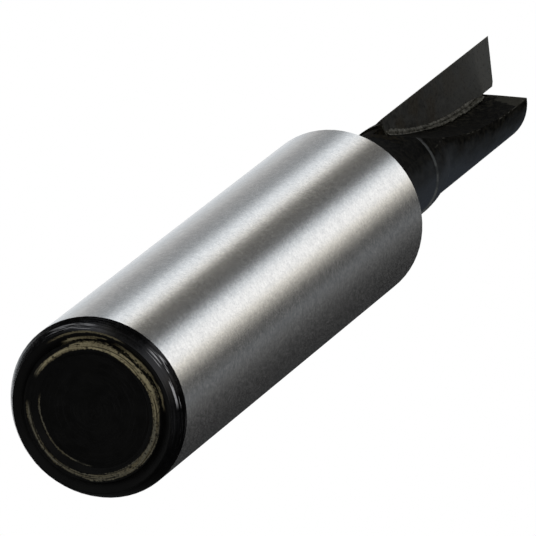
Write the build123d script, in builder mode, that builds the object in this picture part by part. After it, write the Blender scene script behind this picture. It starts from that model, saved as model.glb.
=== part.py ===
from build123d import *
import math
import os

# Straight single-flute router bit: a ground steel shank that ends in a slender
# fluted head, with one carbide cutting tip brazed into a pocket on the head.
# The bit stands on its shank end. Z is the axis of the bit, and the origin is the
# centre of the shank end. The cutting edge lies in the XZ plane, on the -X side,
# and the flute opens towards -Y.
# Lengths are in millimetres and angles in degrees.

os.makedirs("parts", exist_ok=True)

# ---------------------------------------------------------------- shank
shank_diameter = 12.7
shank_length = 46.1
shank_edge_break = 0.12

# ---------------------------------------------------------------- shank end
# From the outside in: a rounded bevel, a thin outer land, a dished groove,
# a raised rim, and a shallow recess in the middle.
bevel_height = 1.2
bevel_width = 0.62
bevel_bulge = 0.05
outer_land_width = 0.08
groove_width = 0.66
groove_depth = 0.38
rim_wall_width = 0.06
rim_width = 0.62
recess_wall_width = 0.32
recess_depth = 0.3

# ---------------------------------------------------------------- neck
shoulder_width = 0.3
flare_length = 7.4
neck_length = 3.27
neck_step_height = 0.16
neck_step_length = 0.08

# ---------------------------------------------------------------- head
cutting_diameter = 7.94
cutting_length = 22.0
steel_setback = 3.17
body_relief = 0.66
head_rim_height = 0.3
head_rim_lead = 0.4
dip_length = 3.2
dip_depth = 0.06
dip_bulge = 0.08
dip_exit_length = 0.9

# ---------------------------------------------------------------- flute
flute_root_offset = 0.39
flute_cutter_radius = 55.0
flute_straight_length = 6.1
flute_wall_angle = 11.0
flute_overrun = 1.0

# ---------------------------------------------------------------- heel facet
heel_facet_width = 2.3
heel_facet_length = 3.0
heel_facet_depth = 0.05

# ---------------------------------------------------------------- carbide tip
tip_thickness = 1.4
tip_corner_radius = 0.9
tip_nose_chamfer = 0.3
tip_side_relief = 32.0
tip_end_relief = 18.0
tip_end_slope = 16.8

# ---------------------------------------------------------------- braze
braze_gap = 0.05
end_gap_length = 0.3
end_gap_depth = 0.15
braze_bead_width = 0.22
braze_bead_angle = 56.0
braze_bead_end = 1.7

# ---------------------------------------------------------------- derived sizes
shank_radius = shank_diameter / 2
bevel_foot_radius = shank_radius - bevel_width
outer_land_radius = bevel_foot_radius - outer_land_width
rim_foot_radius = outer_land_radius - groove_width
rim_outer_radius = rim_foot_radius - rim_wall_width
rim_inner_radius = rim_outer_radius - rim_width
recess_radius = rim_inner_radius - recess_wall_width

cutting_radius = cutting_diameter / 2
body_radius = cutting_radius - body_relief
head_rim_radius = body_radius + head_rim_height
neck_radius = head_rim_radius - neck_step_height
dip_radius = body_radius - dip_depth
flare_root_radius = shank_radius - shoulder_width

flare_end = shank_length + flare_length
head_start = flare_end + neck_length
dip_end = head_start + dip_length
land_start = dip_end + dip_exit_length
tip_start = head_start + head_rim_lead
overall_length = tip_start + cutting_length
steel_end = overall_length - steel_setback
flute_straight_start = overall_length - flute_straight_length

tip_inner_edge = flute_root_offset + braze_gap
pocket_depth = tip_thickness + braze_gap
pocket_start = tip_start - end_gap_length
outside = cutting_radius + flute_overrun

# The rake face lies in a plane through the axis. In that plane x runs out to the
# cutting edge and y runs up the axis. The normal points into the steel that backs
# the tip, and the flute lies on the other side.
rake_plane = Plane.XZ.rotated((0, 0, 180))


def milled_outline(plane, inner_edge, start, reach, corner_radius):
    """The outline that a side-and-face cutter leaves in the rake plane.

    Its inner edge is straight at the end of the bit. Towards the shank it swings
    outwards on the cutter's arc, and it stops square at the height start. The corner
    there is rounded as far as the width that is left allows.
    """
    drop = flute_straight_start - start
    swing = math.degrees(math.asin(drop / flute_cutter_radius))
    centre = (inner_edge + flute_cutter_radius, flute_straight_start)
    top = overall_length + flute_overrun
    with BuildSketch(plane) as outline:
        with BuildLine():
            straight = Line((inner_edge, top), (inner_edge, flute_straight_start))
            arc = CenterArc(centre, flute_cutter_radius, 180, swing)
            Polyline(arc @ 1, (reach, start), (reach, top), straight @ 0)
        make_face()
        shank_side = outline.vertices().sort_by(Axis.Y)[:2]
        width_left = reach - (arc @ 1).X
        fillet(shank_side.sort_by(Axis.X)[0], min(corner_radius, width_left))
    return outline.sketch


def flute_space(plane, inner_edge, wall_angle):
    """The space that a cutter with a conical rim sweeps on one flute side.

    The cutter travels straight from the end of the bit, and then the section of
    its rim turns about the cutter's own axis, where it leaves the steel.
    """
    span = outside - inner_edge
    swing = math.degrees(math.acos(1 - span / flute_cutter_radius))
    lean = outside * math.tan(math.radians(wall_angle))
    section_plane = Plane((0, 0, flute_straight_start), x_dir=plane.x_dir, z_dir=(0, 0, 1))
    cutter_centre = section_plane.from_local_coords((inner_edge + flute_cutter_radius, 0, 0))
    with BuildPart() as space:
        with BuildSketch(section_plane) as section:
            with BuildLine():
                Polyline(
                    (inner_edge, 0),
                    (outside, 0),
                    (outside, outside),
                    (inner_edge - lean, outside),
                    close=True,
                )
            make_face()
        extrude(amount=flute_straight_length + flute_overrun)
        revolve(section.sketch, axis=Axis(cutter_centre, plane.z_dir), revolution_arc=swing)
    return space.part


def milled_slab(plane, inner_edge, start, reach, corner_radius, thickness):
    """A flat slab on the rake plane, with the milled outline as its edge."""
    outline = milled_outline(plane, inner_edge, start, reach, corner_radius)
    with BuildPart() as slab:
        extrude(outline, amount=thickness, dir=plane.z_dir)
    return slab.part


def ground_plane(plane, point, gradient):
    """A ground face through a point of the rake plane, as a plane to split at.

    The gradient says how the face leans, in the rake plane's own directions.
    """
    outward = plane.x_dir * gradient[0] + plane.y_dir * gradient[1] + plane.z_dir * gradient[2]
    return Plane(plane.from_local_coords(point), z_dir=outward)


def heel_facet(plane):
    """The sliver that grinding takes off the heel of the flute at the end of the bit."""
    wall_lean = math.radians(flute_wall_angle)
    along_wall = Vector(-math.sin(wall_lean), math.cos(wall_lean))
    out_of_wall = Vector(math.cos(wall_lean), math.sin(wall_lean))
    root = Vector(flute_root_offset, 0)
    root_offset = root.dot(along_wall)
    wall_width = math.sqrt(body_radius**2 - root.length**2 + root_offset**2) - root_offset
    heel = root + along_wall * wall_width
    end = Vector(0, 0, steel_end)
    inner_corner = heel - along_wall * heel_facet_width + end
    shank_corner = heel + end - Vector(0, 0, heel_facet_length)
    outer_corner = heel - out_of_wall * heel_facet_depth + end
    beyond = outer_corner * 3 - inner_corner - shank_corner
    axial = Plane((0, 0, 0), x_dir=plane.x_dir, z_dir=(0, 0, 1))
    corners = [axial.from_local_coords(c) for c in (inner_corner, shank_corner, beyond)]
    across = corners[1] - corners[0]
    facing = across.cross(corners[2] - corners[0])
    facet_plane = Plane(corners[0], x_dir=across, z_dir=facing)
    with BuildPart() as sliver:
        with BuildSketch(facet_plane):
            with BuildLine():
                Polyline([facet_plane.to_local_coords(c) for c in corners], close=True)
            make_face()
        extrude(amount=flute_overrun)
    return sliver.part


# ---------------------------------------------------------------- the steel
with BuildPart() as blank:
    with BuildSketch(Plane.XZ):
        with BuildLine():
            bevel_foot = (bevel_foot_radius, 0)
            bevel_top = (shank_radius, bevel_height)
            shoulder = (flare_root_radius, shank_length)
            neck_foot = (neck_radius, flare_end)
            step_top = (head_rim_radius, head_start)
            dip = (dip_radius, dip_end)
            Polyline(
                (0, steel_end),
                (0, recess_depth),
                (recess_radius, recess_depth),
                (rim_inner_radius, 0),
                (rim_outer_radius, 0),
                (rim_foot_radius, groove_depth),
                (outer_land_radius, 0),
                bevel_foot,
            )
            SagittaArc(bevel_foot, bevel_top, -bevel_bulge)
            Polyline(
                bevel_top,
                (shank_radius, shank_length - shank_edge_break),
                (shank_radius - shank_edge_break, shank_length),
                shoulder,
            )
            TangentArc(neck_foot, shoulder, tangent=(0, -1))
            Polyline(neck_foot, (neck_radius, head_start - neck_step_length), step_top)
            SagittaArc(step_top, dip, -dip_bulge)
            Polyline(dip, (body_radius, land_start), (body_radius, steel_end), (0, steel_end))
        make_face()
    revolve(axis=Axis.Z)
    add(flute_space(rake_plane, flute_root_offset, flute_wall_angle), mode=Mode.SUBTRACT)
    add(heel_facet(rake_plane), mode=Mode.SUBTRACT)

pocket_corner_radius = tip_corner_radius + braze_gap
pocket = milled_slab(
    rake_plane, flute_root_offset, pocket_start, outside, pocket_corner_radius, pocket_depth
)

with BuildPart() as body:
    add(blank.part)
    add(pocket, mode=Mode.SUBTRACT)
body.part.label = "body"
export_step(body.part, "parts/body.step")


# ---------------------------------------------------------------- tip and braze
def end_height(x):
    """How high the end cutting edge stands at a distance from the axis."""
    return overall_length - (cutting_radius - x) * math.tan(math.radians(tip_end_slope))


end_gradient = (
    -math.tan(math.radians(tip_end_slope)),
    1,
    math.tan(math.radians(tip_end_relief)),
)
nose_gradient = (-1, 1, math.tan(math.radians(tip_end_relief)))
side_gradient = (1, 0, math.tan(math.radians(tip_side_relief)))
nose = tip_inner_edge + tip_nose_chamfer
bead_reach = flute_root_offset + braze_bead_width

with BuildPart() as carbide_tip:
    add(
        milled_slab(
            rake_plane, tip_inner_edge, tip_start, cutting_radius, tip_corner_radius, tip_thickness
        )
    )
    end_face = ground_plane(rake_plane, (cutting_radius, overall_length, 0), end_gradient)
    nose_face = ground_plane(rake_plane, (nose, end_height(nose), 0), nose_gradient)
    side_face = ground_plane(rake_plane, (cutting_radius, overall_length, 0), side_gradient)
    for face in (end_face, nose_face, side_face):
        split(bisect_by=face, keep=Keep.BOTTOM)
carbide_tip.part.label = "carbide_tip_1"
export_step(carbide_tip.part, "parts/carbide_tip_1.step")

with BuildPart() as bead:
    add(
        milled_slab(
            rake_plane, flute_root_offset, tip_start, outside, tip_corner_radius, -braze_bead_width
        )
    )
    add(flute_space(rake_plane, flute_root_offset, flute_wall_angle), mode=Mode.INTERSECT)
    add(flute_space(rake_plane, bead_reach, braze_bead_angle), mode=Mode.SUBTRACT)
    split(bisect_by=Plane.XY.offset(steel_end - braze_bead_end), keep=Keep.BOTTOM)

with BuildPart() as end_gap:
    with BuildSketch(rake_plane):
        with Locations((0, pocket_start)):
            Rectangle(outside, end_gap_length, align=(Align.MIN, Align.MIN))
    extrude(amount=end_gap_depth, both=True)

with BuildPart() as braze_seam:
    add(pocket)
    add(blank.part, mode=Mode.INTERSECT)
    add(carbide_tip.part, mode=Mode.SUBTRACT)
    add(end_gap.part, mode=Mode.SUBTRACT)
    add(bead.part)
braze_seam.part.label = "braze_seam_1"
export_step(braze_seam.part, "parts/braze_seam_1.step")
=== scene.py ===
"""Looks of the router bit: materials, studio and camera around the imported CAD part.

Everything is in the row frame: Z is the bit's axis, and z = 0 is the shank end. The stage is in
metres. The bit's own sizes, the wear on it and the braze are in millimetres.
"""

import math

import bmesh
import bpy
from mathutils import Matrix, Vector, noise


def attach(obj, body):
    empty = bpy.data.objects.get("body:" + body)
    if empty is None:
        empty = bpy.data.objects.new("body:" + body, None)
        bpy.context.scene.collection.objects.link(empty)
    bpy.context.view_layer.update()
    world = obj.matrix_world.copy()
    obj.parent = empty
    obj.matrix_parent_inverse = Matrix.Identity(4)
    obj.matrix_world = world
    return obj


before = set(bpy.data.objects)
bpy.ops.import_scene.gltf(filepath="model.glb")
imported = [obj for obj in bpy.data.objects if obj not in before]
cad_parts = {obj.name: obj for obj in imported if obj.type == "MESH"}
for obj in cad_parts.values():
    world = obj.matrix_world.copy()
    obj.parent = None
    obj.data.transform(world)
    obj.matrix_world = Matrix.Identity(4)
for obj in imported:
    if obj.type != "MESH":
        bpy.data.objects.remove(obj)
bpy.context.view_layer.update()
scene = bpy.context.scene
scene.view_settings.view_transform = "Standard"

MM = 0.001
DEGREES = math.degrees(1.0)

# ---------------------------------------------------------------- camera
# Fitted to outlines in the photograph, for a 12.7 mm shank and a 7.94 mm cutting diameter.
CAMERA_AZIMUTH = -28.27
CAMERA_ELEVATION = -62.39
CAMERA_ROLL = 51.46
CAMERA_DISTANCE = 727.4 * MM
CAMERA_AIM = Vector((-0.196, 0.105, 32.753)) * MM
CAMERA_LENS = 704.4
CAMERA_SENSOR = 36.0


def view_back(azimuth, elevation):
    """The direction from the object to a camera, in the row frame; angles in degrees."""
    a = math.radians(azimuth)
    e = math.radians(elevation)
    return Vector((math.sin(a) * math.cos(e), -math.cos(a) * math.cos(e), math.sin(e)))


def make_camera():
    data = bpy.data.cameras.new("camera")
    data.lens = CAMERA_LENS
    data.sensor_width = CAMERA_SENSOR
    data.clip_start = 10 * MM
    data.clip_end = 20.0
    camera = bpy.data.objects.new("camera", data)
    scene.collection.objects.link(camera)
    back = view_back(CAMERA_AZIMUTH, CAMERA_ELEVATION)
    level_right = Vector((0, 0, 1)).cross(back).normalized()
    level_up = back.cross(level_right)
    roll = math.radians(CAMERA_ROLL)
    right = level_right * math.cos(roll) + level_up * math.sin(roll)
    up = back.cross(right)
    turn = Matrix((right, up, back)).transposed().to_4x4()
    camera.matrix_world = Matrix.Translation(CAMERA_AIM + back * CAMERA_DISTANCE) @ turn
    scene.camera = camera


# ---------------------------------------------------------------- nodes helper
class Shader:
    """A material, or the world, with short ways to add and join nodes."""

    def __init__(self, owner):
        owner.use_nodes = True
        self.tree = owner.node_tree
        self.tree.nodes.clear()

    def add(self, kind, inputs=(), **settings):
        node = self.tree.nodes.new(kind)
        for name, value in settings.items():
            setattr(node, name, value)
        for name, value in dict(inputs).items():
            self.put(node.inputs[name], value)
        return node

    def put(self, socket, value):
        if isinstance(value, bpy.types.NodeSocket):
            self.tree.links.new(value, socket)
        elif isinstance(value, bpy.types.Node):
            self.tree.links.new(value.outputs[0], socket)
        else:
            socket.default_value = value

    def output(self, surface, kind="ShaderNodeOutputMaterial"):
        self.add(kind, {"Surface": surface})

    def math(self, operation, a, b=0.0, c=0.0):
        return self.add("ShaderNodeMath", {0: a, 1: b, 2: c}, operation=operation).outputs[0]

    def product(self, *factors):
        result = factors[0]
        for factor in factors[1:]:
            result = self.math("MULTIPLY", result, factor)
        return result

    def largest(self, *values):
        result = values[0]
        for value in values[1:]:
            result = self.math("MAXIMUM", result, value)
        return result

    def mix(self, factor, a, b):
        """A colour between a, at factor 0, and b, at factor 1."""
        node = self.add("ShaderNodeMix", data_type="RGBA")
        self.put(node.inputs["Factor"], factor)
        self.put(node.inputs[6], a)
        self.put(node.inputs[7], b)
        return node.outputs[2]

    def coats(self, colour, *coats):
        """A colour with coats over it, one on the other; each is a mask and a colour."""
        for mask, coat in coats:
            colour = self.mix(mask, colour, coat)
        return colour

    def blend(self, factor, a, b):
        """A number between a, at factor 0, and b, at factor 1."""
        node = self.add("ShaderNodeMix", data_type="FLOAT")
        self.put(node.inputs["Factor"], factor)
        self.put(node.inputs[2], a)
        self.put(node.inputs[3], b)
        return node.outputs[0]

    def ramp(self, factor, *stops):
        """A coloured ramp; each stop is a position between 0 and 1 and a colour."""
        node = self.add("ShaderNodeValToRGB")
        elements = node.color_ramp.elements
        while len(elements) < len(stops):
            elements.new(1.0)
        for element, (position, colour) in zip(elements, stops):
            element.position = position
            element.color = colour
        self.put(node.inputs[0], factor)
        return node.outputs[0]

    def range(self, value, low, high, to_low=0.0, to_high=1.0, smooth=False):
        """value moved from low..high to to_low..to_high, and held at both ends."""
        node = self.add("ShaderNodeMapRange", clamp=True)
        if smooth:
            node.interpolation_type = "SMOOTHSTEP"
        for name, number in (("Value", value), ("From Min", low), ("From Max", high)):
            self.put(node.inputs[name], number)
        self.put(node.inputs["To Min"], to_low)
        self.put(node.inputs["To Max"], to_high)
        return node.outputs[0]

    def rise(self, value, edge, soft):
        """0 where value is below the edge and 1 above it, over soft on either side."""
        return self.range(value, edge - soft, edge + soft, smooth=True)

    def fall(self, value, edge, soft):
        """1 where value is below the edge and 0 above it, over soft on either side."""
        return self.range(value, edge - soft, edge + soft, 1.0, 0.0, smooth=True)

    def bump(self, height, strength, distance):
        """A bumpy normal; distance is in millimetres."""
        inputs = {"Strength": strength, "Distance": distance * MM, "Height": height}
        return self.add("ShaderNodeBump", inputs)


def grey(level):
    return (level, level, level, 1.0)


# ---------------------------------------------------------------- stage
FLOOR_DROP = 0.15 * MM
FLOOR_RADIUS = 3.0
FLOOR_CORNERS = 72
FLOOR_FADE_START = 0.12
FLOOR_FADE_END = 0.60
FLOOR_COLOUR = (0.86, 0.86, 0.855, 1.0)
AMBIENT_LEVEL = 0.35
STAGE_CENTRE = Vector((0, 0, 38 * MM))


def make_world():
    """White where the camera or a reflection meets it, and a plain soft light elsewhere."""
    world = bpy.data.worlds.new("world")
    scene.world = world
    shader = Shader(world)
    rays = shader.add("ShaderNodeLightPath").outputs
    seen = shader.largest(
        rays["Is Camera Ray"], rays["Is Glossy Ray"], rays["Is Transmission Ray"]
    )
    strength = shader.blend(seen, AMBIENT_LEVEL, 1.0)
    background = {"Color": grey(1.0), "Strength": strength}
    shader.output(shader.add("ShaderNodeBackground", background), "ShaderNodeOutputWorld")


def make_floor_material():
    """Pale paint that fades to white far from the bit and is clear from below."""
    material = bpy.data.materials.new("floor")
    shader = Shader(material)
    geometry = shader.add("ShaderNodeNewGeometry").outputs
    away = shader.add("ShaderNodeVectorMath", {0: geometry["Position"]}, operation="LENGTH")
    far = shader.range(away.outputs["Value"], FLOOR_FADE_START, FLOOR_FADE_END, smooth=True)
    paint = shader.add("ShaderNodeBsdfDiffuse", {"Color": FLOOR_COLOUR})
    white = shader.add("ShaderNodeEmission", {"Color": grey(1.0), "Strength": 1.0})
    clear = shader.add("ShaderNodeBsdfTransparent")
    top = shader.add("ShaderNodeMixShader", {0: far, 1: paint, 2: white})
    sides = {0: geometry["Backfacing"], 1: top, 2: clear}
    shader.output(shader.add("ShaderNodeMixShader", sides))
    return material


def make_floor():
    """A round floor just under the shank end."""
    data = bpy.data.meshes.new("floor")
    turns = [2 * math.pi * step / FLOOR_CORNERS for step in range(FLOOR_CORNERS)]
    corners = [
        (math.cos(turn) * FLOOR_RADIUS, math.sin(turn) * FLOOR_RADIUS, -FLOOR_DROP)
        for turn in turns
    ]
    data.from_pydata(corners, [], [range(len(corners))])
    data.materials.append(make_floor_material())
    floor = bpy.data.objects.new("floor", data)
    scene.collection.objects.link(floor)
    floor.visible_shadow = False
    floor.visible_diffuse = False
    floor.visible_glossy = False


# ---------------------------------------------------------------- light tent
# A light tent that only reflections see. Each stop is an angle round the bit's axis from the
# camera's side, in degrees, then how bright the wall is there, then its tint. The stops were
# typed from a comparison of photo and render across the shank, so they follow the
# photograph's reflections and not a studio that is known.
COOL = (0.95, 1.0, 1.05)
PLAIN = (1.0, 1.0, 1.0)
WARM = (1.05, 1.0, 0.90)
BACK_WALL = (
    (-180, 0.95, PLAIN),
    (-150, 0.62, COOL),
    (-128, 0.48, PLAIN),
    (-114, 0.30, PLAIN),
)
SIDE_SOFTBOX = (
    (-90, 0.25, COOL),
    (-82, 0.55, COOL),
    (-74, 0.86, COOL),
    (-62, 0.92, PLAIN),
    (-56, 0.65, WARM),
    (-50, 0.16, WARM),
)
DARK_GAP = (
    (-42, 0.10, WARM),
    (-22, 0.08, PLAIN),
)
FRONT_SOFTBOX = (
    (-15, 0.32, COOL),
    (-7, 0.78, COOL),
    (2, 0.98, PLAIN),
    (14, 0.94, PLAIN),
    (21, 0.78, WARM),
    (28, 0.40, WARM),
    (36, 0.19, WARM),
)
DARK_SIDE = (
    (44, 0.06, PLAIN),
    (52, 0.07, PLAIN),
    (62, 0.13, COOL),
    (74, 0.09, PLAIN),
    (92, 0.04, PLAIN),
    (120, 0.02, PLAIN),
    (180, 0.02, COOL),
)
TENT_STRIPS = BACK_WALL + SIDE_SOFTBOX + DARK_GAP + FRONT_SOFTBOX + DARK_SIDE
TENT_RADIUS = 1.2
TENT_LEVEL = 1.12

# Heights on the tent and widths of soft edges, all in degrees.
LOW_EDGE = -6.0
LOW_EDGE_SOFT = 6.0
LOW_STRIP_SHARE = 0.7
DARK_BELT_LOW = 10.0
DARK_BELT_HIGH = 40.0
DARK_BELT_SOFT = 4.0
DARK_BELT_LEVEL = 0.02
BOX_AZIMUTH = -6.0
BOX_ELEVATION = 9.0
BOX_HALF_WIDTH = 9.0
BOX_HALF_HEIGHT = 6.0
BOX_SIDE_SOFT = 4.0
BOX_TOP_SOFT = 3.0
UNDER_EDGE = -42.0
UNDER_EDGE_SOFT = 6.0
UNDER_SIDE = 120.0
UNDER_SIDE_SOFT = 15.0
UNDER_LEVEL = 0.05


def tent_angles(shader):
    """Azimuth from the camera's side, and elevation, of a point of the tent in degrees."""
    place = shader.add("ShaderNodeNewGeometry").outputs["Position"]
    x, y, z = shader.add("ShaderNodeSeparateXYZ", {0: place}).outputs
    camera_side = math.radians(CAMERA_AZIMUTH - 90)
    ahead = (math.cos(camera_side), math.sin(camera_side))
    across = (-ahead[1], ahead[0])
    along = shader.math("MULTIPLY_ADD", x, ahead[0], shader.math("MULTIPLY", y, ahead[1]))
    aside = shader.math("MULTIPLY_ADD", x, across[0], shader.math("MULTIPLY", y, across[1]))
    azimuth = shader.math("MULTIPLY", shader.math("ARCTAN2", aside, along), DEGREES)
    rise = shader.math("SUBTRACT", z, STAGE_CENTRE.z)
    sine = shader.math("DIVIDE", rise, TENT_RADIUS)
    elevation = shader.math("MULTIPLY", shader.math("ARCSINE", sine), DEGREES)
    return azimuth, elevation


def tent_colour(shader, azimuth, elevation):
    """The strips, paler low down, with a dark belt, a softbox at its foot and a dark under-part."""
    stops = [
        (0.5 + degrees / 360, tuple(level * part for part in tint) + (1.0,))
        for degrees, level, tint in TENT_STRIPS
    ]
    strips = shader.ramp(shader.math("MULTIPLY_ADD", azimuth, 1 / 360, 0.5), *stops)

    # The pale low part shows from the sides, and only faintly in the photograph's view.
    low = shader.fall(elevation, LOW_EDGE, LOW_EDGE_SOFT)
    pale = shader.mix(LOW_STRIP_SHARE, grey(1.0), strips)

    belt = shader.product(
        shader.rise(elevation, DARK_BELT_LOW, DARK_BELT_SOFT),
        shader.fall(elevation, DARK_BELT_HIGH, DARK_BELT_SOFT),
    )

    off_side = shader.math("ABSOLUTE", shader.math("SUBTRACT", azimuth, BOX_AZIMUTH))
    off_up = shader.math("ABSOLUTE", shader.math("SUBTRACT", elevation, BOX_ELEVATION))
    softbox = shader.product(
        shader.fall(off_side, BOX_HALF_WIDTH, BOX_SIDE_SOFT),
        shader.fall(off_up, BOX_HALF_HEIGHT, BOX_TOP_SOFT),
    )

    # The shank end mirrors the part straight behind and below the bit, which is dark.
    under = shader.product(
        shader.fall(elevation, UNDER_EDGE, UNDER_EDGE_SOFT),
        shader.rise(shader.math("ABSOLUTE", azimuth), UNDER_SIDE, UNDER_SIDE_SOFT),
    )
    return shader.coats(
        strips,
        (low, pale),
        (belt, grey(DARK_BELT_LEVEL)),
        (softbox, grey(1.0)),
        (under, grey(UNDER_LEVEL)),
    )


def make_tent():
    bpy.ops.mesh.primitive_uv_sphere_add(
        segments=64, ring_count=32, radius=TENT_RADIUS, location=STAGE_CENTRE
    )
    tent = bpy.context.object
    tent.name = "light_tent"
    tent.visible_camera = False
    tent.visible_diffuse = False
    tent.visible_shadow = False
    tent.visible_transmission = False
    material = bpy.data.materials.new("light_tent")
    shader = Shader(material)
    colour = tent_colour(shader, *tent_angles(shader))
    shader.output(shader.add("ShaderNodeEmission", {"Color": colour, "Strength": TENT_LEVEL}))
    tent.data.materials.append(material)


# ---------------------------------------------------------------- lamps
LAMP_DISTANCE = 0.9
# Name, azimuth and elevation in degrees, size in metres, watts.
LAMPS = (
    ("key", 75, 15, 0.5, 7.0),
    ("fill", -70, 35, 0.6, 2.0),
    ("back", 190, 30, 0.6, 3.0),
    ("low", CAMERA_AZIMUTH, CAMERA_ELEVATION + 15, 0.5, 2.0),
)


def add_lamp(name, azimuth, elevation, size, watts):
    """A square softbox that faces the middle of the bit, which reflections don't see."""
    data = bpy.data.lights.new(name, "AREA")
    data.size = size
    data.energy = watts
    lamp = bpy.data.objects.new(name, data)
    back = view_back(azimuth, elevation)
    facing = back.to_track_quat("Z", "Y").to_matrix().to_4x4()
    lamp.matrix_world = Matrix.Translation(STAGE_CENTRE + back * LAMP_DISTANCE) @ facing
    lamp.visible_camera = False
    lamp.visible_glossy = False
    scene.collection.objects.link(lamp)


def make_stage():
    make_world()
    make_floor()
    make_tent()
    for lamp in LAMPS:
        add_lamp(*lamp)


# ---------------------------------------------------------------- the bit's own sizes, in mm
SHANK_RADIUS = 6.35
SHANK_TOP = 45.98
BEVEL_HEIGHT = 1.2
BEVEL_FOOT_RADIUS = 5.73
OUTER_LAND_RADIUS = 5.65
RIM_OUTER_RADIUS = 4.93
RIM_INNER_RADIUS = 4.31
RECESS_RADIUS = 3.99
HEAD_START = 56.77
STEEL_END = 76.0
CUTTING_RADIUS = 3.97
FLUTE_ROOT = 0.39
FLUTE_CUTTER_RADIUS = 55.0
FLUTE_STRAIGHT_START = 73.07
FLUTE_WALL_ANGLE = 11.0
FLUTE_REACH = 13.0
FACET_START = 73.0


class Place:
    """Where a point of the surface is, in millimetres and in the bit's own directions."""

    def __init__(self, shader):
        self.shader = shader
        position = shader.add("ShaderNodeNewGeometry").outputs["Position"]
        self.vector = shader.add(
            "ShaderNodeVectorMath", {0: position, "Scale": 1 / MM}, operation="SCALE"
        ).outputs[0]
        self.x, self.y, self.z = shader.add("ShaderNodeSeparateXYZ", {0: self.vector}).outputs
        y_squared = shader.math("MULTIPLY", self.y, self.y)
        self.radius = shader.math("SQRT", shader.math("MULTIPLY_ADD", self.x, self.x, y_squared))
        turn = shader.math("ARCTAN2", self.y, self.x)
        self.angle = shader.math("MULTIPLY", turn, DEGREES)

    def noise(self, size, detail=3.0, roughness=0.55, stretch=(1, 1, 1)):
        """Smooth noise between about 0.3 and 0.7 whose grains are size millimetres wide."""
        scaled = {0: self.vector, 1: stretch}
        vector = self.shader.add("ShaderNodeVectorMath", scaled, operation="MULTIPLY")
        return self.grains(vector, 1 / size, detail, roughness)

    def swirl(self, length, width, detail=3.0, roughness=0.55, offset=0.0):
        """Noise drawn out round the axis: grains length degrees long and width mm wide."""
        shader = self.shader
        reach = shader.math("MAXIMUM", self.radius, 0.05)
        inverse = shader.math("DIVIDE", DEGREES / length, reach)
        parts = {
            0: shader.math("MULTIPLY", self.x, inverse),
            1: shader.math("MULTIPLY", self.y, inverse),
            2: shader.math("MULTIPLY_ADD", self.radius, 1 / width, offset),
        }
        vector = shader.add("ShaderNodeCombineXYZ", parts)
        return self.grains(vector, 1.0, detail, roughness)

    def grains(self, vector, scale, detail, roughness):
        inputs = {"Vector": vector, "Scale": scale, "Detail": detail, "Roughness": roughness}
        return self.shader.add("ShaderNodeTexNoise", inputs).outputs["Fac"]

    def sector(self, middle, half, fade):
        """1 within half degrees of the angle middle, fading to 0 over fade degrees."""
        shader = self.shader
        turned = shader.math("ADD", self.angle, 540.0 - middle)
        away = shader.math("SUBTRACT", shader.math("FLOORED_MODULO", turned, 360.0), 180.0)
        away = shader.math("ABSOLUTE", away)
        return shader.range(away, half, half + fade, 1.0, 0.0, smooth=True)

    def band(self, value, low, high, soft):
        """1 where value lies between low and high, and 0 outside, with soft edges."""
        shader = self.shader
        return shader.product(shader.rise(value, low, soft), shader.fall(value, high, soft))

    def depth_in_land(self):
        """How far a point of the head lies from the flute's wall, into the steel."""
        shader = self.shader
        drop = shader.math("SUBTRACT", FLUTE_STRAIGHT_START, self.z)
        drop = shader.math("MINIMUM", shader.math("MAXIMUM", drop, 0.0), FLUTE_REACH)
        squared = shader.math("MULTIPLY", drop, drop)
        left = shader.math("SUBTRACT", FLUTE_CUTTER_RADIUS**2, squared)
        root = shader.math("SUBTRACT", FLUTE_ROOT + FLUTE_CUTTER_RADIUS, shader.math("SQRT", left))
        lean = math.tan(math.radians(FLUTE_WALL_ANGLE))
        wall = shader.math("MULTIPLY_ADD", self.y, lean, root)
        across = shader.math("ADD", wall, self.x)
        return shader.math("MULTIPLY", across, math.cos(math.radians(FLUTE_WALL_ANGLE)))


# ---------------------------------------------------------------- steel
def ground_steel(shader, place):
    """Bright steel, ground on a cylindrical grinder: fine lines run round the shank."""
    lines = place.noise(0.05, detail=4.0, stretch=(0.10, 0.10, 1.0))
    patches = place.noise(0.5, detail=4.0, roughness=0.7)
    grain = place.noise(0.16, detail=3.0, roughness=0.7)
    flecks = shader.math("MULTIPLY_ADD", grain, 0.6, shader.math("MULTIPLY", patches, 0.4))
    flecks = shader.range(flecks, 0.36, 0.64)
    height = shader.math("MULTIPLY_ADD", grain, 2.0, lines)
    return shader.add(
        "ShaderNodeBsdfPrincipled",
        {
            "Base Color": shader.mix(flecks, (0.66, 0.665, 0.67, 1), (0.94, 0.935, 0.92, 1)),
            "Metallic": shader.range(grain, 0.44, 0.62, 1.0, 0.945),
            "Roughness": shader.range(lines, 0.3, 0.7, 0.14, 0.22),
            "Anisotropic": 0.65,
            "Tangent": shader.add("ShaderNodeTangent", direction_type="RADIAL", axis="Z"),
            "Normal": shader.bump(height, 0.26, 0.006),
        },
    )


def bevel_highlight_arcs(shader, place):
    """Painted highlights: a few thin bright arcs on the bevel, where reflections show on its
    turning ridges.
    """
    by_shank = shader.product(
        place.sector(-106.0, 14.0, 9.0),
        place.band(place.radius, SHANK_RADIUS - 0.37, SHANK_RADIUS - 0.09, 0.02),
    )
    by_foot = shader.product(
        place.sector(177.0, 9.0, 12.0),
        place.band(place.radius, BEVEL_FOOT_RADIUS + 0.05, BEVEL_FOOT_RADIUS + 0.35, 0.02),
        0.6,
    )
    ridges = shader.range(place.swirl(22.0, 0.07, detail=2.0, offset=5.0), 0.51, 0.58)
    # Painted highlights, only in two sectors of the bevel, broken into arcs.
    glints = shader.product(shader.largest(by_shank, by_foot), ridges)
    faint = shader.range(place.swirl(30.0, 0.06, detail=3.0, offset=11.0), 0.60, 0.72)
    return shader.largest(glints, shader.product(faint, 0.05))


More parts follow.
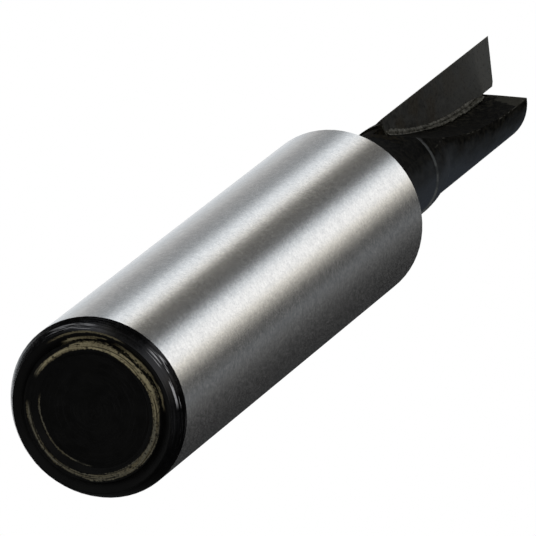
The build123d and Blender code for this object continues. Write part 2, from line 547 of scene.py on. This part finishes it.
def gloss_black(shader, place):
    """The bevel at the shank end: blackened steel, turned and polished, with painted highlight arcs
    in places.
    """
    scuffs = place.noise(0.35, detail=5.0, roughness=0.7)
    marks = shader.bump(place.swirl(60.0, 0.07, detail=2.0), 0.6, 0.03)
    black = shader.add(
        "ShaderNodeBsdfPrincipled",
        {
            "Base Color": shader.mix(scuffs, (0.020, 0.020, 0.021, 1), (0.042, 0.042, 0.044, 1)),
            "Metallic": 1.0,
            "Roughness": shader.range(scuffs, 0.35, 0.65, 0.12, 0.30),
            "Normal": marks,
        },
    )
    # The painted highlight arcs: pale, partly metallic paint.
    bright = shader.add(
        "ShaderNodeBsdfPrincipled",
        {
            "Base Color": shader.mix(scuffs, (0.22, 0.22, 0.23, 1), (0.62, 0.62, 0.64, 1)),
            "Metallic": 0.25,
            "Roughness": shader.range(scuffs, 0.35, 0.65, 0.25, 0.45),
            "Normal": marks,
        },
    )
    # Where the painted highlight arcs cover the black.
    wear_and_glints = bevel_highlight_arcs(shader, place)
    return shader.add("ShaderNodeMixShader", {0: wear_and_glints, 1: black, 2: bright})


def rim_wear(shader, place, radius):
    """The wear on the raised rim: widest on one side, with a gap on the other."""
    wide = place.sector(-84.0, 96.0, 12.0)
    inner = shader.blend(wide, RIM_INNER_RADIUS + 0.13, RIM_INNER_RADIUS + 0.07)
    outer = shader.blend(wide, RIM_OUTER_RADIUS - 0.21, RIM_OUTER_RADIUS - 0.07)
    gap = place.sector(119.0, 10.0, 8.0)
    grooves = shader.range(
        place.swirl(46.0, 0.11, detail=2.0, offset=43.0), 0.40, 0.47, 0.12, 1.0
    )
    return shader.product(
        shader.rise(shader.math("SUBTRACT", radius, inner), 0.0, 0.03),
        shader.rise(shader.math("SUBTRACT", outer, radius), 0.0, 0.03),
        shader.math("SUBTRACT", 1.0, gap),
        shader.range(place.noise(0.22, detail=5.0, roughness=0.7), 0.38, 0.47),
        grooves,
    )


def end_wear(shader, place):
    """Where the shank end is worn: the rim, and broken arcs beside it."""
    ragged = place.noise(0.16, detail=4.0, roughness=0.65)
    ragged = shader.range(ragged, 0.3, 0.7, -0.05, 0.05)
    slow = shader.range(place.swirl(44.0, 60.0, detail=0.0), 0.3, 0.7, -0.09, 0.09)
    radius = shader.math("ADD", place.radius, shader.math("ADD", ragged, slow))
    outside_rim = shader.product(
        place.band(radius, RIM_OUTER_RADIUS + 0.05, RIM_OUTER_RADIUS + 0.27, 0.03),
        place.sector(-138.0, 48.0, 8.0),
        shader.range(place.swirl(14.0, 0.3, detail=3.0, offset=7.0), 0.38, 0.50),
    )
    in_recess = shader.product(
        place.band(radius, RECESS_RADIUS - 0.13, RECESS_RADIUS - 0.03, 0.03),
        place.sector(66.0, 42.0, 10.0),
        shader.range(place.swirl(18.0, 0.5, detail=3.0, offset=3.0), 0.42, 0.52, 0.15, 0.8),
    )
    on_land = shader.product(
        place.band(radius, OUTER_LAND_RADIUS - 0.15, OUTER_LAND_RADIUS - 0.01, 0.02),
        place.sector(-172.0, 22.0, 10.0),
        0.55,
    )
    return shader.largest(rim_wear(shader, place, radius), outside_rim, in_recess, on_land)


def shank_end(shader, place):
    """The turned shank end: nearly black, with the raised rim worn to an olive brown."""
    clouds = place.noise(0.9, detail=4.0)
    wear_and_glints = end_wear(shader, place)
    streaks = shader.range(place.swirl(34.0, 0.09, detail=3.0, offset=21.0), 0.38, 0.56)
    flecks = shader.range(place.noise(0.13, detail=4.0), 0.36, 0.64)
    brightest = place.sector(-150.0, 60.0, 20.0)
    olive = shader.mix(flecks, (0.030, 0.025, 0.013, 1), (0.140, 0.118, 0.068, 1))
    pale = shader.mix(brightest, (0.120, 0.113, 0.084, 1), (0.290, 0.255, 0.155, 1))
    black = shader.mix(clouds, (0.0020, 0.0020, 0.0019, 1), (0.0052, 0.0052, 0.0050, 1))
    # Faint turning marks, broken up so that they read as arcs and not as whole rings.
    arcs = shader.range(place.swirl(38.0, 0.16, detail=3.0, offset=31.0), 0.52, 0.66)
    height = shader.math("MULTIPLY_ADD", clouds, 0.6, arcs)
    height = shader.math("MULTIPLY_ADD", streaks, shader.product(wear_and_glints, 0.6), height)
    return shader.add(
        "ShaderNodeBsdfPrincipled",
        {
            "Base Color": shader.mix(wear_and_glints, black, shader.mix(streaks, olive, pale)),
            "Roughness": shader.blend(wear_and_glints, shader.range(clouds, 0.3, 0.7, 0.34, 0.46), 0.65),
            "Specular IOR Level": 0.05,
            "Normal": shader.bump(height, 0.45, 0.03),
        },
    )


def oxide_with_painted_light(shader, place, depth):
    """Satin oxide with painted light: it grows paler and bluer away from the flute, as the land
    turns towards the light.
    """
    cloud = shader.range(place.noise(1.3, detail=4.0), 0.36, 0.64, smooth=True)
    near = shader.mix(cloud, (0.0115, 0.0140, 0.0160, 1), (0.0175, 0.0210, 0.0240, 1))
    # Painted light: paler and bluer with the depth into the land.
    return shader.mix(shader.range(depth, 0.4, 3.2), near, (0.0165, 0.0200, 0.0255, 1))


def flux_and_shade_cover(shader, place, depth):
    """How far a near-black coat hides the oxide: flux that brazing left in the flute, and painted
    shade fading out from its edge onto the land.
    """
    blotches = place.noise(1.1, detail=3.0, stretch=(1.0, 1.0, 0.45))
    ragged = shader.math("MULTIPLY_ADD", shader.math("SUBTRACT", blotches, 0.5), -2.0, depth)
    on_neck = shader.range(place.z, HEAD_START - 0.2, HEAD_START, 1.0, 0.0)
    return shader.product(
        shader.range(ragged, 0.35, 2.3, 1.0, 0.0), shader.blend(on_neck, 1.0, 0.9)
    )


def neck_ring_highlight(shader, place):
    """A thin painted highlight round the neck, where the head starts."""
    return shader.product(
        place.band(place.z, HEAD_START - 0.10, HEAD_START - 0.01, 0.02),
        shader.range(place.noise(0.8), 0.40, 0.52, 0.35, 0.9),
    )


def ground_facet(shader, place, lumps, from_rake):
    """The heel by the end of the bit, ground back to a ragged edge."""
    edge = shader.math("MULTIPLY_ADD", shader.math("SUBTRACT", lumps, 0.5), 0.9, place.z)
    reach = shader.math("MULTIPLY_ADD", from_rake, -0.55, FACET_START + 2.35)
    return shader.product(
        shader.range(shader.math("SUBTRACT", edge, reach), 0.0, 0.15),
        shader.range(from_rake, 1.15, 1.35),
    )


def edge_highlights(shader, place, depth, on_wall):
    """Painted highlights: a thin light line along the heel here and there, and one along the edge
    at the end of the steel.
    """
    heel = shader.product(
        place.band(depth, 0.03, 0.10, 0.02),
        shader.range(place.noise(0.7, detail=4.0), 0.50, 0.58),
        shader.range(place.z, HEAD_START + 0.5, HEAD_START + 2.0),
        0.6,
    )
    end_line = place.band(place.z, STEEL_END - 0.07, STEEL_END + 0.02, 0.02)
    return shader.largest(heel, shader.product(end_line, on_wall, 0.8))


def black_oxide(shader, place):
    """The blackened neck and head: satin oxide, and dead black flux with brown stains, with painted
    light: paler oxide away from the flute, shade along the heel and thin highlights.
    """
    grain = place.noise(0.12, detail=5.0, roughness=0.6)
    lumps = place.noise(0.4, detail=5.0, roughness=0.65)
    thick = shader.range(lumps, 0.42, 0.62)
    depth = place.depth_in_land()
    on_wall = shader.range(depth, 0.02, 0.14, 1.0, 0.0)
    from_rake = shader.math("MULTIPLY", place.y, -1.0)
    # Flux in the flute, and painted shade along the heel.
    flux = flux_and_shade_cover(shader, place, depth)
    # Crusts of flux stand out beside the bead, where the wall meets the tip.
    crust = shader.product(
        shader.range(from_rake, 0.4, 2.0, 1.0, 0.0),
        on_wall,
        shader.range(place.z, 62.0, 66.0),
        shader.range(lumps, 0.50, 0.58),
        0.8,
    )
    facet = shader.product(ground_facet(shader, place, lumps, from_rake), on_wall)
    # Where the flute runs out of the neck the flux is brown.
    runout = shader.product(
        on_wall,
        place.band(place.z, 54.0, HEAD_START + 0.4, 0.1),
        shader.range(place.x, -3.0, -2.4, 1.0, 0.0),
    )
    # Near black, for the flux and for the painted shade.
    soot_and_shade = shader.mix(thick, (0.0008, 0.0008, 0.0007, 1), (0.0080, 0.0074, 0.0058, 1))
    olive = shader.mix(lumps, (0.018, 0.018, 0.015, 1), (0.036, 0.034, 0.027, 1))
    brown = shader.mix(thick, (0.0012, 0.0011, 0.0009, 1), (0.012, 0.010, 0.006, 1))
    # Painted light among these coats: the paler oxide away from the flute, the shade at the flux's
    # edge, the neck ring highlight and the edge highlights.
    colour = shader.coats(
        oxide_with_painted_light(shader, place, depth),
        (flux, soot_and_shade),
        (crust, (0.026, 0.024, 0.018, 1)),
        (neck_ring_highlight(shader, place), (0.085, 0.090, 0.090, 1)),
        (facet, olive),
        (edge_highlights(shader, place, depth, on_wall), (0.070, 0.068, 0.058, 1)),
        (runout, brown),
    )
    dull = shader.largest(flux, on_wall)
    height = shader.math("MULTIPLY_ADD", shader.product(lumps, flux), 4.0, grain)
    return shader.add(
        "ShaderNodeBsdfPrincipled",
        {
            "Base Color": colour,
            "Roughness": shader.blend(dull, shader.range(grain, 0.35, 0.65, 0.46, 0.60), 0.7),
            "Specular IOR Level": shader.blend(dull, 0.22, 0.02),
            "Normal": shader.bump(height, 0.35, 0.02),
        },
    )


def make_steel():
    """One piece of steel with four surfaces, told apart by where they are."""
    material = bpy.data.materials.new("steel")
    shader = Shader(material)
    place = Place(shader)
    bevel_top = BEVEL_HEIGHT - 0.01
    on_shank = shader.product(
        shader.math("GREATER_THAN", place.z, bevel_top),
        shader.math("LESS_THAN", place.z, SHANK_TOP),
    )
    on_bevel = shader.math("LESS_THAN", place.z, bevel_top)
    on_end = shader.product(
        shader.math("LESS_THAN", place.z, BEVEL_HEIGHT - 0.5),
        shader.math("LESS_THAN", place.radius, BEVEL_FOOT_RADIUS - 0.01),
    )
    surface = black_oxide(shader, place)
    for where, finish in (
        (on_shank, ground_steel),
        (on_bevel, gloss_black),
        (on_end, shank_end),
    ):
        layers = {0: where, 1: surface, 2: finish(shader, place)}
        surface = shader.add("ShaderNodeMixShader", layers)
    shader.output(surface)
    return material


# ---------------------------------------------------------------- carbide and braze
def make_carbide():
    """Sintered carbide, matt grey, stained brown and olive by the brazing."""
    material = bpy.data.materials.new("carbide")
    shader = Shader(material)
    place = Place(shader)
    clouds = place.noise(0.8, detail=5.0, roughness=0.6)
    stain = shader.range(place.noise(2.1, detail=4.0), 0.46, 0.60, smooth=True)
    # The tip is cleaner and paler towards the end of the bit.
    clean = shader.math("MULTIPLY_ADD", clouds, 3.0, place.z)
    clean = shader.range(clean, 66.0, 78.0, 0.0, 0.80)
    mottle = shader.range(place.noise(0.30, detail=4.0, roughness=0.7), 0.40, 0.62)
    pits = place.noise(0.24, detail=3.0, roughness=0.7, stretch=(1.0, 1.0, 0.8))
    pits = shader.range(pits, 0.55, 0.66)
    edge = shader.product(
        shader.range(place.radius, CUTTING_RADIUS - 0.12, CUTTING_RADIUS - 0.03),
        shader.range(place.noise(0.5), 0.42, 0.55, 0.2, 0.8),
    )
    colour = shader.coats(
        (0.0080, 0.0080, 0.0076, 1),
        (shader.range(clouds, 0.36, 0.64), (0.0330, 0.0330, 0.0315, 1)),
        (shader.product(stain, 0.7), (0.0200, 0.0145, 0.0075, 1)),
        (clean, (0.0560, 0.0575, 0.0560, 1)),
        (shader.product(mottle, 0.45), (0.056, 0.055, 0.048, 1)),
        (shader.product(pits, 0.6), (0.0060, 0.0055, 0.0045, 1)),
        (edge, (0.075, 0.072, 0.058, 1)),
    )
    surface = shader.add(
        "ShaderNodeBsdfPrincipled",
        {
            "Base Color": colour,
            "Roughness": shader.range(clouds, 0.3, 0.7, 0.40, 0.55),
            "Specular IOR Level": 0.05,
            "Normal": shader.bump(place.noise(0.06, detail=3.0), 0.3, 0.012),
        },
    )
    shader.output(surface)
    return material


def make_braze():
    """Silver braze gone dull: olive grey, with dark flux in its hollows."""
    material = bpy.data.materials.new("braze")
    shader = Shader(material)
    place = Place(shader)
    clouds = place.noise(0.32, detail=5.0, roughness=0.65)
    colour = shader.ramp(
        clouds,
        (0.36, (0.0040, 0.0037, 0.0029, 1)),
        (0.46, (0.0340, 0.0325, 0.0250, 1)),
        (0.60, (0.0800, 0.0770, 0.0640, 1)),
    )
    surface = shader.add(
        "ShaderNodeBsdfPrincipled",
        {
            "Base Color": colour,
            "Roughness": shader.range(clouds, 0.3, 0.7, 0.6, 0.4),
            "Specular IOR Level": 0.15,
            "Normal": shader.bump(clouds, 0.5, 0.03),
        },
    )
    shader.output(surface)
    return material


# ---------------------------------------------------------------- the bead of braze, in mm
BEAD_SIDES = 16
BEAD_LUMP_SIZE = 0.45
BEAD_OFF_ROOT = 0.14
BEAD_BLOB_HEIGHT = 57.3
BEAD_BLOB_LENGTH = 3.0
BEAD_BLOB_SHIFT = 0.10
BEAD_BLOB_SWELL = 0.8
BEAD_DEPTH = 0.02
FLUX_DEPTH = 0.34
FLUX_LEAN_DEPTH = 0.30
FLUX_OFF_ROOT = 0.02


def flute_root(z):
    """How far from the axis the flute's floor meets the rake face, at height z."""
    drop = max(FLUTE_STRAIGHT_START - z, 0.0)
    return FLUTE_ROOT + FLUTE_CUTTER_RADIUS - math.sqrt(FLUTE_CUTTER_RADIUS**2 - drop**2)


def bead_path(z):
    """The middle of the bead at height z, and how wide it is there: it starts as a blob."""
    blob = math.exp((BEAD_BLOB_HEIGHT - z) / BEAD_BLOB_LENGTH)
    x = -(flute_root(z) + BEAD_OFF_ROOT + BEAD_BLOB_SHIFT * blob)
    return x, -BEAD_DEPTH, 1.0 + BEAD_BLOB_SWELL * blob


def flux_path(z):
    """The middle of the flux that ran out beside the bead, which keeps its width."""
    lean = FLUX_LEAN_DEPTH * math.tan(math.radians(FLUTE_WALL_ANGLE))
    return -(flute_root(z) - FLUX_OFF_ROOT + lean), -FLUX_DEPTH, 1.0


def lump(z, turn, seed):
    """A smooth random swelling, about -1 to 1, at height z and angle turn of a bead."""
    spot = Vector((z / BEAD_LUMP_SIZE, math.cos(turn) + seed, math.sin(turn)))
    return noise.fractal(spot, 0.8, 2.0, 3)


def end_taper(share):
    """1 along a bead, and a tenth at both its ends, over a twelfth of its length."""
    return math.sin(math.pi * min(1.0, share * 12, (1 - share) * 12) / 2) * 0.9 + 0.1


def make_bead(name, path, start, end, stations, width, thickness, roughness, seed):
    """A closed, lumpy roll of braze along a path from the height start to the height end."""
    mesh = bmesh.new()
    rings = []
    for station in range(stations):
        share = station / (stations - 1)
        z = start + (end - start) * share
        x, y, scale = path(z)
        ring = []
        for side in range(BEAD_SIDES):
            turn = 2 * math.pi * side / BEAD_SIDES
            swell = end_taper(share) * (1 + roughness * lump(z, turn, seed))
            across = width * scale * swell * math.cos(turn)
            up = thickness * swell * math.sin(turn)
            ring.append(mesh.verts.new(((x + across) * MM, (y + up) * MM, z * MM)))
        rings.append(ring)
    for low, high in zip(rings, rings[1:]):
        for side in range(BEAD_SIDES):
            other = (side + 1) % BEAD_SIDES
            mesh.faces.new((low[side], low[other], high[other], high[side]))
    mesh.faces.new(tuple(reversed(rings[0])))
    mesh.faces.new(tuple(rings[-1]))
    bmesh.ops.recalc_face_normals(mesh, faces=mesh.faces)
    data = bpy.data.meshes.new(name)
    mesh.to_mesh(data)
    mesh.free()
    for face in data.polygons:
        face.use_smooth = True
    bead = bpy.data.objects.new(name, data)
    scene.collection.objects.link(bead)
    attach(bead, "root")
    return bead


def make_beads():
    """The bead along the flute's root, and the flux that ran out beside it."""
    return (
        make_bead(
            "bead", bead_path, start=57.25, end=74.1, stations=260,
            width=0.19, thickness=0.10, roughness=0.42, seed=3.0,
        ),
        make_bead(
            "flux", flux_path, start=63.5, end=75.2, stations=200,
            width=0.10, thickness=0.26, roughness=0.75, seed=9.0,
        ),
    )


def dress(nodes):
    steel = make_steel()
    carbide = make_carbide()
    braze = make_braze()
    for name, node in nodes.items():
        material = steel
        if name.startswith("carbide"):
            material = carbide
        if name.startswith("braze"):
            material = braze
        node.data.materials[0] = material
    for bead in make_beads():
        bead.data.materials.append(braze)


make_camera()
make_stage()
dress(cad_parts)
